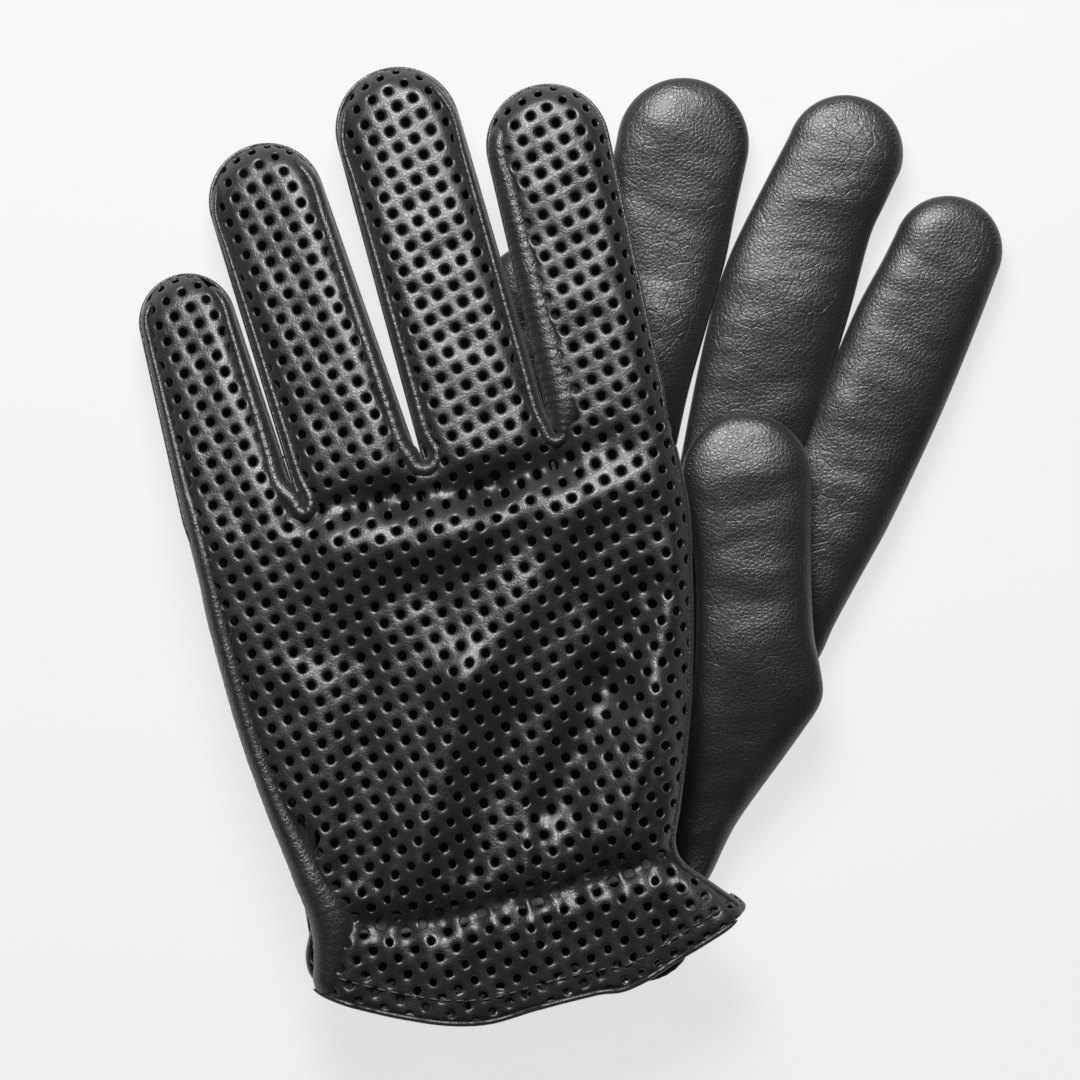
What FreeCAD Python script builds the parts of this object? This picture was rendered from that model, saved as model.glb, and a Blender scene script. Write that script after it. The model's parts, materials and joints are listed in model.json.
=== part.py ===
import FreeCAD, Part
import math
import os
import Sketcher

# A pair of slip-on leather driving gloves, laid one across the other.
# The left-hand glove lies on top, back up; the right-hand glove lies under it, palm up.
# Frame: +X to the right, +Y towards the fingertips, +Z up, origin under the middle of the pair.
# Each glove is a hollow shell of flat-cut leather: back, palm, finger fronts and backs,
# side strips (fourchettes), small gussets (quirks) in the crotches, and a two-piece thumb.

doc = FreeCAD.newDocument("drivingGloves")
sheet = doc.addObject("Spreadsheet::Sheet", "Sizes")

common = {
    "leather": 1.2,          # thickness of every leather piece
    "seamGap": 0.8,          # room kept at each side of a finger's root
    "hingeGap": 0.5,         # room kept between a finger's root and the hand
    "fingerDepth": 12.0,     # height of a finger lying flat
    "tuckedDepth": 7.0,      # the upper glove's thumb, pressed flat under its palm
    "thumbRest": 12.3,       # underside of the lower glove's folded thumb
    "quirkRadius": 2.6,      # half the diagonal of a crotch gusset
    "quirkGap": 0.6,         # room between a gusset and the finger roots
    "stripMargin": 1.0,      # how much shorter a fourchette is than its finger's straight side
    "openReach": 3.0,        # how far the palm's hollow runs out past an open edge
    "elasticWidth": 6.0,
    "elasticThick": 1.0,
    "elasticInset": 8.0,     # from the elastic's ends to the glove's sides
    "stitchLength": 2.4,
    "stitchThick": 0.5,
    "stitchPitch": 4.0,
    "hemMargin": 5.0,        # stitch line above the cuff's edge
}

# Outline landmarks run clockwise from the little finger's outer root corner.
gloves = {
    "left": {
        "floor": 19.6, "depth": 14.0, "palmUp": False,
        "outline": [
            ("LittleSide", -95.6, -1.1), ("LittleRing", -67.0, 6.5), ("RingMiddle", -36.0, 16.0),
            ("MiddleIndex", -3.5, 24.5), ("IndexSide", 24.3, 31.0), ("Knuckle", 29.2, -8.0),
            ("ThumbSide", 29.6, -38.0), ("ThumbWrist", 25.0, -77.0), ("HemThumb", 43.3, -91.9),
            ("HemMiddle", 14.5, -110.9), ("HemLow", -22.0, -119.6), ("HemLittle", -67.0, -107.4),
            ("WristLittle", -64.8, -92.6), ("Heel", -80.8, -54.6), ("SideLittle", -91.3, -17.9),
        ],
        "openEdges": ["LittleSide", "LittleRing", "RingMiddle", "MiddleIndex",
                      "HemThumb", "HemMiddle", "HemLow"],
        "fingers": {
            "little": {"root": ("LittleSide", "LittleRing"), "tip": (-96.5, 55.9), "r": 12.0, "droop": 17.0},
            "ring": {"root": ("LittleRing", "RingMiddle"), "tip": (-76.5, 86.4), "r": 14.4, "droop": 12.8},
            "middle": {"root": ("RingMiddle", "MiddleIndex"), "tip": (-43.3, 104.1), "r": 15.5, "droop": 9.5},
            "index": {"root": ("MiddleIndex", "IndexSide"), "tip": (-5.5, 99.4), "r": 15.3, "droop": 5.8},
        },
        "thumb": {"root": ((3.0, -43.0), (27.0, -45.0)), "tip": (9.0, 0.0), "r": 12.0},
    },
    "right": {
        "floor": 0.0, "depth": 12.0, "palmUp": True,
        "outline": [
            ("LittleSide", -34.0, 30.0), ("LittleRing", -5.5, 24.0), ("RingMiddle", 26.3, 19.5),
            ("MiddleFold", 33.2, 47.6), ("FoldGap", 64.2, 36.5), ("IndexFold", 92.0, 25.4),
            ("IndexSide", 79.5, 2.2), ("Notch", 62.5, -31.6), ("Ball", 62.5, -41.4),
            ("BallLow", 41.8, -70.9), ("ThumbWrist", 34.5, -86.0), ("HemThumb", 28.0, -106.0),
            ("HemMiddle", 14.5, -110.9), ("HemLittle", -62.0, -82.0), ("WristLittle", -57.0, -68.0),
            ("Heel", -52.0, -10.0),
        ],
        "openEdges": ["LittleSide", "LittleRing", "MiddleFold", "FoldGap", "HemThumb", "HemMiddle"],
        "fingers": {
            "little": {"root": ("LittleSide", "LittleRing"), "tip": (-10.0, 64.0), "r": 11.8, "droop": 0.0},
            "ring": {"root": ("LittleRing", "RingMiddle"), "tip": (28.5, 101.1), "r": 16.5, "droop": 0.0},
            "middle": {"root": ("MiddleFold", "FoldGap"), "tip": (69.5, 98.6), "r": 14.8, "droop": 0.0},
            "index": {"root": ("FoldGap", "IndexFold"), "tip": (95.8, 74.6), "r": 13.8, "droop": 0.0},
        },
        "thumb": {"root": ((31.8, -28.0), (60.8, -27.0)), "tip": (44.0, 16.6), "r": 16.3},
    },
}

fingerOrder = ["little", "ring", "middle", "index"]
cells = {}


def addCell(alias, value):
    """Put one driving size in the sheet, under a word."""
    row = len(cells) + 1
    sheet.set(f"A{row}", alias)
    sheet.set(f"B{row}", f"{value:.4f}")
    sheet.setAlias(f"B{row}", alias)
    cells[alias] = value


def landmark(side, name):
    return FreeCAD.Vector(cells[side + name + "X"], cells[side + name + "Y"], 0)


def fingerLayout(side, name, finger, depth):
    """Root line, direction, lengths and placement of one finger, from its two root corners and tip."""
    if isinstance(finger["root"][0], str):
        corners = [landmark(side, corner) for corner in finger["root"]]
    else:
        corners = [FreeCAD.Vector(x, y, 0) for x, y in finger["root"]]
    droop = math.radians(finger.get("droop", 0.0))
    root = (corners[0] + corners[1]) * 0.5
    tip = FreeCAD.Vector(finger["tip"][0], finger["tip"][1], 0)
    reach = (tip - root).Length
    lean = math.atan2(tip.x - root.x, tip.y - root.y)
    rootLine = corners[1] - corners[0]
    twist = abs(lean - math.atan2(-rootLine.y, rootLine.x))
    halfWidth = rootLine.Length / 2 - cells["seamGap"]
    gap = cells["hingeGap"] + halfWidth * math.tan(twist) + depth * math.tan(droop)
    key = side + name.capitalize()
    addCell(key + "Root", 2 * halfWidth)
    addCell(key + "Tip", finger["r"])
    addCell(key + "Length", (reach + finger["r"]) / math.cos(droop) - finger["r"])
    addCell(key + "Gap", gap)
    return {"key": key, "root": root, "lean": lean, "droop": droop}


def fingerPlacement(layout, top, depth):
    """The finger hangs from the top edge of its root line, and droops towards its tip."""
    yaw = FreeCAD.Rotation(FreeCAD.Vector(0, 0, 1), -math.degrees(layout["lean"]))
    pitch = FreeCAD.Rotation(FreeCAD.Vector(1, 0, 0), -math.degrees(layout["droop"]))
    root = layout["root"]
    hung = FreeCAD.Placement(FreeCAD.Vector(root.x, root.y, top), yaw.multiply(pitch))
    return hung.multiply(FreeCAD.Placement(FreeCAD.Vector(0, 0, -depth), FreeCAD.Rotation()))


def newBody(label):
    body = doc.addObject("PartDesign::Body", label)
    body.Label = label
    return body


def newSketch(body, name, height):
    """A sketch on the body's own ground plane, raised by an expression."""
    sketch = body.newObject("Sketcher::SketchObject", name)
    plane = [face for face in body.Origin.OriginFeatures if face.Role == "XY_Plane"][0]
    sketch.AttachmentSupport = (plane, [""])
    sketch.MapMode = "FlatFace"
    sketch.setExpression(".AttachmentOffset.Base.z", height)
    return sketch


def padSketch(body, sketch, length):
    pad = body.newObject("PartDesign::Pad", sketch.Name + "Pad")
    pad.Profile = sketch
    pad.setExpression("Length", length)
    sketch.Visibility = False
    return pad


def bind(sketch, constraint, formula):
    index = sketch.addConstraint(constraint)
    sketch.setExpression(f"Constraints[{index}]", formula)


def outlineSketch(body, name, side, names, height):
    """A closed run of straight edges through the named landmarks."""
    sketch = newSketch(body, name, height)
    points = [landmark(side, corner) for corner in names]
    count = len(points)
    for i in range(count):
        sketch.addGeometry(Part.LineSegment(points[i], points[(i + 1) % count]), False)
    for i in range(count):
        sketch.addConstraint(Sketcher.Constraint("Coincident", i, 2, (i + 1) % count, 1))
    for i, corner in enumerate(names):
        key = "Sizes." + side + corner
        bind(sketch, Sketcher.Constraint("DistanceX", -1, 1, i, 1, points[i].x), key + "X")
        bind(sketch, Sketcher.Constraint("DistanceY", -1, 1, i, 1, points[i].y), key + "Y")
    return sketch


def fingerSketch(body, name, key, height):
    """A finger's flat outline: a straight root, two tapering sides and a round tip."""
    sketch = newSketch(body, name, height)
    half = cells[key + "Root"] / 2
    tip = cells[key + "Tip"]
    length = cells[key + "Length"]
    gap = cells[key + "Gap"]
    across = FreeCAD.Vector(0, 0, 1)
    tipArc = Part.ArcOfCircle(Part.Circle(FreeCAD.Vector(0, length, 0), across, tip), 0, math.pi)
    sketch.addGeometry(Part.LineSegment(FreeCAD.Vector(-half, gap, 0), FreeCAD.Vector(half, gap, 0)), False)
    sketch.addGeometry(Part.LineSegment(FreeCAD.Vector(half, gap, 0), FreeCAD.Vector(tip, length, 0)), False)
    sketch.addGeometry(tipArc, False)
    sketch.addGeometry(Part.LineSegment(FreeCAD.Vector(-tip, length, 0), FreeCAD.Vector(-half, gap, 0)), False)
    sketch.addConstraint(Sketcher.Constraint("Coincident", 0, 2, 1, 1))
    sketch.addConstraint(Sketcher.Constraint("Tangent", 1, 2, 2, 1))
    sketch.addConstraint(Sketcher.Constraint("Tangent", 2, 2, 3, 1))
    sketch.addConstraint(Sketcher.Constraint("Coincident", 3, 2, 0, 1))
    sketch.addConstraint(Sketcher.Constraint("PointOnObject", 2, 3, -2))
    sketch.addConstraint(Sketcher.Constraint("Symmetric", 0, 1, 0, 2, -2))
    bind(sketch, Sketcher.Constraint("DistanceX", 0, 1, 0, 2, 2 * half), f"Sizes.{key}Root")
    bind(sketch, Sketcher.Constraint("DistanceY", -1, 1, 0, 1, gap), f"Sizes.{key}Gap")
    bind(sketch, Sketcher.Constraint("DistanceY", -1, 1, 2, 3, length), f"Sizes.{key}Length")
    bind(sketch, Sketcher.Constraint("Radius", 2, tip), f"Sizes.{key}Tip")
    return sketch


def tipWallSketch(body, name, key, height):
    """The half ring of leather that closes a fingertip."""
    sketch = newSketch(body, name, height)
    tip = cells[key + "Tip"]
    inner = tip - cells["leather"]
    centre = FreeCAD.Vector(0, cells[key + "Length"], 0)
    across = FreeCAD.Vector(0, 0, 1)
    right = FreeCAD.Vector(1, 0, 0)
    sketch.addGeometry(Part.ArcOfCircle(Part.Circle(centre, across, tip), 0, math.pi), False)
    sketch.addGeometry(Part.LineSegment(centre - right * tip, centre - right * inner), False)
    sketch.addGeometry(Part.ArcOfCircle(Part.Circle(centre, across, inner), 0, math.pi), False)
    sketch.addGeometry(Part.LineSegment(centre + right * inner, centre + right * tip), False)
    sketch.addConstraint(Sketcher.Constraint("Coincident", 0, 2, 1, 1))
    sketch.addConstraint(Sketcher.Constraint("Coincident", 1, 2, 2, 2))
    sketch.addConstraint(Sketcher.Constraint("Coincident", 2, 1, 3, 1))
    sketch.addConstraint(Sketcher.Constraint("Coincident", 3, 2, 0, 1))
    sketch.addConstraint(Sketcher.Constraint("Coincident", 0, 3, 2, 3))
    sketch.addConstraint(Sketcher.Constraint("PointOnObject", 0, 3, -2))
    sketch.addConstraint(Sketcher.Constraint("Horizontal", 1))
    sketch.addConstraint(Sketcher.Constraint("Horizontal", 3))
    sketch.addConstraint(Sketcher.Constraint("Horizontal", 0, 3, 0, 1))
    bind(sketch, Sketcher.Constraint("DistanceY", -1, 1, 0, 3, centre.y), f"Sizes.{key}Length")
    bind(sketch, Sketcher.Constraint("Radius", 0, tip), f"Sizes.{key}Tip")
    bind(sketch, Sketcher.Constraint("Radius", 2, inner), f"Sizes.{key}Tip - Sizes.leather")
    return sketch


def sideStrip(key):
    """Where a finger's straight side starts, how long it is and how far it turns outwards."""
    half = cells[key + "Root"] / 2
    tip = cells[key + "Tip"]
    run = cells[key + "Length"] - cells[key + "Gap"]
    reach = math.hypot(half, run)
    length = math.sqrt(reach ** 2 - tip ** 2)
    outward = math.degrees(math.asin(tip / reach) - math.atan2(half, run))
    return half, length, outward


def stripPlacement(key, hand):
    """Local placement of a strip on the finger's little-finger side (hand -1) or thumb side (+1)."""
    half, _, outward = sideStrip(key)
    turn = FreeCAD.Rotation(FreeCAD.Vector(0, 0, 1), -hand * outward)
    corner = FreeCAD.Vector(hand * half, cells[key + "Gap"], cells["leather"])
    placed = FreeCAD.Placement(corner, turn)
    inset = -cells["leather"] if hand > 0 else 0.0
    return placed.multiply(FreeCAD.Placement(FreeCAD.Vector(inset, 0, 0), FreeCAD.Rotation()))


def fingerBack(label, key, depth, palmUp):
    """The flat back of a finger."""
    body = newBody(label)
    height = "0" if palmUp else f"{depth} - Sizes.leather"
    padSketch(body, fingerSketch(body, label + "_outline", key, height), "Sizes.leather")
    return body


def fingerFront(label, key, depth, palmUp, walls):
    """The front of a finger: a plate, the wall round its tip, and any side wall cut in one with it."""
    body = newBody(label)
    height = f"{depth} - Sizes.leather" if palmUp else "0"
    padSketch(body, fingerSketch(body, label + "_outline", key, height), "Sizes.leather")
    padSketch(body, tipWallSketch(body, label + "_tip", key, "Sizes.leather"), f"{depth} - 2 * Sizes.leather")
    for hand in walls:
        wall = body.newObject("PartDesign::AdditiveBox", label + "_wall")
        wall.setExpression("Length", "Sizes.leather")
        wall.Width = sideStrip(key)[1]
        wall.setExpression("Height", f"{depth} - 2 * Sizes.leather")
        wall.Placement = stripPlacement(key, hand)
    return body


def fourchette(label, key, depth, hand, placement):
    """One side strip of a finger, between its back and its front."""
    addCell(key + ("Inner" if hand > 0 else "Outer") + "Strip", sideStrip(key)[1] - cells["stripMargin"])
    strip = doc.addObject("Part::Box", label)
    strip.Label = label
    strip.setExpression("Length", "Sizes.leather")
    strip.setExpression("Width", f"Sizes.{key}" + ("InnerStrip" if hand > 0 else "OuterStrip"))
    strip.setExpression("Height", f"{depth} - 2 * Sizes.leather")
    strip.Placement = placement.multiply(stripPlacement(key, hand))
    return strip


def handBack(label, side, glove):
    """The flat back panel of the hand and cuff."""
    body = newBody(label)
    names = [point[0] for point in glove["outline"]]
    height = "0" if glove["palmUp"] else f"{glove['depth']} - Sizes.leather"
    padSketch(body, outlineSketch(body, label + "_outline", side, names, height), "Sizes.leather")
    return body


def innerCorner(before, here, after, insetBefore, insetAfter):
    """Where the two edges at a corner meet once each is moved inwards by its own inset."""
    first = (here - before).normalize()
    second = (after - here).normalize()
    firstIn = FreeCAD.Vector(first.y, -first.x, 0) * insetBefore
    secondIn = FreeCAD.Vector(second.y, -second.x, 0) * insetAfter
    turn = first.x * second.y - first.y * second.x
    apart = secondIn - firstIn
    along = (apart.x * second.y - apart.y * second.x) / turn
    return here + firstIn + first * along


def handPalm(label, side, glove):
    """The palm: a tray with side walls, open at the finger roots, at the cuff and towards the back."""
    body = newBody(label)
    names = [point[0] for point in glove["outline"]]
    count = len(names)
    inset = [-cells["openReach"] if corner in glove["openEdges"] else cells["leather"] for corner in names]
    for i, corner in enumerate(names):
        spot = innerCorner(landmark(side, names[i - 1]), landmark(side, corner),
                           landmark(side, names[(i + 1) % count]), inset[i - 1], inset[i])
        addCell(side + corner + "InnerX", spot.x)
        addCell(side + corner + "InnerY", spot.y)
    blockFloor = "Sizes.leather" if glove["palmUp"] else "0"
    block = padSketch(body, outlineSketch(body, label + "_outline", side, names, blockFloor),
                      f"{glove['depth']} - Sizes.leather")
    doc.recompute()
    solidVolume = block.Shape.Volume
    hollowFloor = f"{glove['depth']} - Sizes.leather" if glove["palmUp"] else "Sizes.leather"
    innerNames = [corner + "Inner" for corner in names]
    hollow = body.newObject("PartDesign::Pocket", label + "_hollow")
    hollow.Profile = outlineSketch(body, label + "_inside", side, innerNames, hollowFloor)
    hollow.Length = glove["depth"]
    hollow.Reversed = not glove["palmUp"]
    doc.recompute()
    if hollow.Shape.Volume > 0.5 * solidVolume:
        raise RuntimeError(label + " is not hollow")
    return body


def quirk(label, side, corner, glove):
    """A small diamond gusset that closes the hand between two finger roots."""
    post = doc.addObject("Part::Prism", label)
    post.Label = label
    post.Polygon = 4
    post.setExpression("Circumradius", "Sizes.quirkRadius")
    post.setExpression("Height", f"{glove['depth']} - 2 * Sizes.leather")
    spot = landmark(side, corner) - FreeCAD.Vector(0, cells["quirkRadius"] + cells["quirkGap"], 0)
    spot.z = glove["floor"] + cells["leather"]
    post.Placement = FreeCAD.Placement(spot, FreeCAD.Rotation())
    return post


def elasticBand(label, start, end, lift):
    """The flat elastic sewn inside the back at the wrist."""
    addCell(label.replace("_elastic", "ElasticRun"), (end - start).Length)
    band = doc.addObject("Part::Box", label)
    band.Label = label
    band.setExpression("Length", "Sizes." + label.replace("_elastic", "ElasticRun"))
    band.setExpression("Width", "Sizes.elasticWidth")
    band.setExpression("Height", "Sizes.elasticThick")
    turn = math.degrees(math.atan2(end.y - start.y, end.x - start.x))
    place = FreeCAD.Vector(start.x, start.y, lift)
    band.Placement = FreeCAD.Placement(place, FreeCAD.Rotation(FreeCAD.Vector(0, 0, 1), turn))
    return band


def hemThread(label, side, corners, level):
    """The row of stitches round the cuff, as separate short threads."""
    stitches = []
    for first, second in zip(corners, corners[1:]):
        run = landmark(side, second) - landmark(side, first)
        turn = FreeCAD.Rotation(FreeCAD.Vector(0, 0, 1), math.degrees(math.atan2(run.y, run.x)))
        along = FreeCAD.Vector(run).normalize()
        start = landmark(side, first) + FreeCAD.Vector(along.y, -along.x, 0) * cells["hemMargin"]
        count = int(run.Length / cells["stitchPitch"]) - 2
        margin = (run.Length - (count - 1) * cells["stitchPitch"]) / 2
        for i in range(count):
            stitch = Part.makeBox(cells["stitchLength"], cells["stitchThick"], cells["stitchThick"])
            spot = start + along * (margin + i * cells["stitchPitch"])
            stitch.Placement = FreeCAD.Placement(FreeCAD.Vector(spot.x, spot.y, level), turn)
            stitches.append(stitch)
    thread = doc.addObject("Part::Feature", label)
    thread.Label = label
    thread.Shape = Part.makeCompound(stitches)
    return thread


for alias, value in common.items():
    addCell(alias, value)
for side, glove in gloves.items():
    for name, x, y in glove["outline"]:
        addCell(side + name + "X", x)
        addCell(side + name + "Y", y)

subParts = []
for side, glove in gloves.items():
    depth = glove["depth"]
    top = glove["floor"] + depth
    palmUp = glove["palmUp"]
    fingerDepth = cells["fingerDepth"]
    lift = FreeCAD.Placement(FreeCAD.Vector(0, 0, glove["floor"]), FreeCAD.Rotation())

    back = handBack(side + "_back", side, glove)
    palm = handPalm(side + "_palm", side, glove)
    back.Placement = lift
    palm.Placement = lift
    subParts += [back, palm]

    for name in fingerOrder:
        layout = fingerLayout(side, name, glove["fingers"][name], fingerDepth)
        hung = fingerPlacement(layout, top, fingerDepth)
        outerWalls = {"little": [-1], "index": [1]}.get(name, [])
        pieces = [
            fingerBack(f"{side}_{name}_back", layout["key"], fingerDepth, palmUp),
            fingerFront(f"{side}_{name}_front", layout["key"], fingerDepth, palmUp, outerWalls),
        ]
        for piece in pieces:
            piece.Placement = hung
        for hand, word in ((-1, "outer"), (1, "inner")):
            if hand not in outerWalls:
                label = f"{side}_{name}_fourchette_{word}"
                pieces.append(fourchette(label, layout["key"], fingerDepth, hand, hung))
        subParts += pieces

    thumbDepth = fingerDepth if palmUp else cells["tuckedDepth"]
    thumbTop = cells["thumbRest"] + thumbDepth if palmUp else glove["floor"]
    layout = fingerLayout(side, "thumb", glove["thumb"], thumbDepth)
    laid = fingerPlacement(layout, thumbTop, thumbDepth)
    thumbBack = fingerBack(side + "_thumb_back", layout["key"], thumbDepth, not palmUp)
    thumbFront = fingerFront(side + "_thumb_front", layout["key"], thumbDepth, not palmUp, [-1, 1])
    thumbBack.Placement = laid
    thumbFront.Placement = laid
    subParts += [thumbBack, thumbFront]

    subParts.append(quirk(side + "_quirk_little_ring", side, "LittleRing", glove))
    subParts.append(quirk(side + "_quirk_ring_middle", side, "RingMiddle", glove))
    crotch = "FoldGap" if palmUp else "MiddleIndex"
    subParts.append(quirk(side + "_quirk_middle_index", side, crotch, glove))

    inset = FreeCAD.Vector(cells["elasticInset"], 0, 0)
    wristLittle = landmark(side, "WristLittle") + inset
    wristThumb = landmark(side, "ThumbWrist") - inset
    backInside = cells["leather"] if palmUp else top - cells["leather"] - cells["elasticThick"]
    subParts.append(elasticBand(side + "_elastic", wristLittle, wristThumb, backInside))
    hemRun = ["HemThumb", "HemMiddle", "HemLittle"] if palmUp else ["HemThumb", "HemMiddle", "HemLow", "HemLittle"]
    subParts.append(hemThread(side + "_hem_thread", side, hemRun, top))

doc.recompute()

for item in doc.Objects:
    if "Invalid" in item.State or "Error" in item.State:
        raise RuntimeError(f"{item.Label} failed: {item.State}")
for piece in subParts:
    if piece.Shape.isNull() or not piece.Shape.isValid():
        raise RuntimeError(piece.Label + " has no valid shape")

# The pair is moved so that its box stands centred on the origin.
pair = Part.makeCompound([piece.Shape for piece in subParts]).BoundBox
shift = FreeCAD.Vector(-pair.Center.x, -pair.Center.y, 0)
for piece in subParts:
    piece.Placement = FreeCAD.Placement(shift, FreeCAD.Rotation()).multiply(piece.Placement)
doc.recompute()

os.makedirs("parts", exist_ok=True)
for piece in subParts:
    piece.Shape.exportStep(f"parts/{piece.Label}.step")
print(f"{len(subParts)} sub-parts, {pair.XLength:.1f} x {pair.YLength:.1f} x {pair.ZLength:.1f} mm")
print(f"centred by {shift.x:.3f}, {shift.y:.3f} mm")
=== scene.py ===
import json
import math
import bpy
import bmesh
from mathutils import Matrix, Vector, noise


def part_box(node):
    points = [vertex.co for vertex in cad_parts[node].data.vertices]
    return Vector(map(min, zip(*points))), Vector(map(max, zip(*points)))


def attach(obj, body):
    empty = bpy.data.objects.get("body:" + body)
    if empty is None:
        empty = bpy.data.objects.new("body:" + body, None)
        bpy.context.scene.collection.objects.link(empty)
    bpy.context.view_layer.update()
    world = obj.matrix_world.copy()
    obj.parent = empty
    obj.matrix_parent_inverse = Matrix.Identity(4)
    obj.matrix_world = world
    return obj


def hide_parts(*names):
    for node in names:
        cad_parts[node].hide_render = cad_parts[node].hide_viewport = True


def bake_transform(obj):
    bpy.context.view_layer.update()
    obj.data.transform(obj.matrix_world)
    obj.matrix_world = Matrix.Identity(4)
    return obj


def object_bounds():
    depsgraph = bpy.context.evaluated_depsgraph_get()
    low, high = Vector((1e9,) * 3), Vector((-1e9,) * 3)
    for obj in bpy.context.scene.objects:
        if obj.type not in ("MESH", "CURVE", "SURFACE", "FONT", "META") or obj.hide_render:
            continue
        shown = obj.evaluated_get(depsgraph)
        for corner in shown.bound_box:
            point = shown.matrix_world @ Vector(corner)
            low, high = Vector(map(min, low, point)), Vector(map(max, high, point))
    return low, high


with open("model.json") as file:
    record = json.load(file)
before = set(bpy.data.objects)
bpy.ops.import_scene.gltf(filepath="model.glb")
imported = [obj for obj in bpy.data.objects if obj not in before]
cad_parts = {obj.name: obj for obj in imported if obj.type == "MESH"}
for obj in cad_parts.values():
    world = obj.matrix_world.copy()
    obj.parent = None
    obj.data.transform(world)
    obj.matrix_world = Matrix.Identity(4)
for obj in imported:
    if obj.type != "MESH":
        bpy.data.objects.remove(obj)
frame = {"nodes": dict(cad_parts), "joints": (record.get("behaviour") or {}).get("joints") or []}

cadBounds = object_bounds()
mm = 0.001               # plans and heights below are in millimetres, in the frame's own axes
joints = {joint["name"]: joint for joint in frame["joints"]}
scene = bpy.context.scene


# camera, light, floor
studio = {
    "focal": 180.0,           # long lens, so that the upper glove isn't enlarged
    "frameWidth": 0.270,      # metres across the picture at the gloves' height
    "aim": (-0.0080, 0.0004, 0.022),
    "keySize": 0.45, "keyPower": 24.0, "keyPlace": (-0.10, 0.60, 0.72),
    "fillSize": 0.9, "fillPower": 0.7, "fillPlace": (-0.6, -0.5, 1.3),
    "floor": (0.07, 0.07, 0.07), "floorGlow": 0.73, "world": 0.035,
    "floorSize": 6.0, "floorGap": 0.0002,
}

cameraData = bpy.data.cameras.new("camera")
cameraData.lens = studio["focal"]
camera = bpy.data.objects.new("camera", cameraData)
aim = Vector(studio["aim"])
distance = studio["frameWidth"] * studio["focal"] / cameraData.sensor_width
camera.location = aim + Vector((0, 0, distance))
scene.collection.objects.link(camera)
scene.camera = camera


def areaLight(name, size, power, place):
    data = bpy.data.lights.new(name, "AREA")
    data.shape = "SQUARE"
    data.size = size
    data.energy = power
    light = bpy.data.objects.new(name, data)
    light.location = place
    light.rotation_euler = (aim - Vector(place)).to_track_quat("-Z", "Y").to_euler()
    scene.collection.objects.link(light)


areaLight("key", studio["keySize"], studio["keyPower"], studio["keyPlace"])
areaLight("fill", studio["fillSize"], studio["fillPower"], studio["fillPlace"])
world = bpy.data.worlds.new("studio")
scene.world = world
world.use_nodes = True
scene.view_settings.view_transform = "Standard"
background = world.node_tree.nodes["Background"]
background.inputs["Color"].default_value = (1, 1, 1, 1)
background.inputs["Strength"].default_value = studio["world"]


# shader writing
class Value:
    # A socket that takes part in ordinary sums.

    def __init__(self, maker, socket):
        self.maker = maker
        self.socket = socket

    def math(self, operation, other):
        return self.maker.node("ShaderNodeMath", {"operation": operation}, {0: self, 1: other})

    def __add__(self, other):
        return self.math("ADD", other)

    def __mul__(self, other):
        return self.math("MULTIPLY", other)

    def __sub__(self, other):
        return self.math("SUBTRACT", other)

    def __rsub__(self, other):
        return self * -1 + other

    __radd__ = __add__
    __rmul__ = __mul__

    def clamp(self, low=0.0, high=1.0):
        return self.math("MAXIMUM", low).math("MINIMUM", high)


class Maker:
    # Makes one material's nodes.

    def __init__(self, name):
        self.material = bpy.data.materials.new(name)
        self.material.use_nodes = True
        self.tree = self.material.node_tree
        self.shader = self.tree.nodes["Principled BSDF"]

    def node(self, kind, settings=None, sockets=None, output=0):
        # Adds a node: its settings first, then the values or links of its sockets.
        made = self.tree.nodes.new(kind)
        for key, value in (settings or {}).items():
            setattr(made, key, value)
        for key, value in (sockets or {}).items():
            if isinstance(value, Value):
                self.tree.links.new(value.socket, made.inputs[key])
            else:
                made.inputs[key].default_value = value
        return Value(self, made.outputs[output])

    def feed(self, name, value):
        if isinstance(value, Value):
            self.tree.links.new(value.socket, self.shader.inputs[name])
        else:
            self.shader.inputs[name].default_value = value


leather = {        # scales are cells or spots in a metre; depths are shares of the relief's height
    "dark": (0.0024, 0.0026, 0.0032, 1), "pale": (0.0080, 0.0084, 0.0100, 1),
    "grain": 900.0, "pores": 2600.0, "creases": 260.0, "patches": 55.0,
    "grainEdge": 0.28, "creaseEdge": 0.07, "creasedFrom": 0.42, "creasedTo": 0.62,
    "grainDepth": 0.55, "poreDepth": 0.25, "creaseDepth": 0.8, "relief": 0.00012,
    "roughness": 0.41, "roughnessSpread": 0.14, "grainPolish": 0.08,
}


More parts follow.
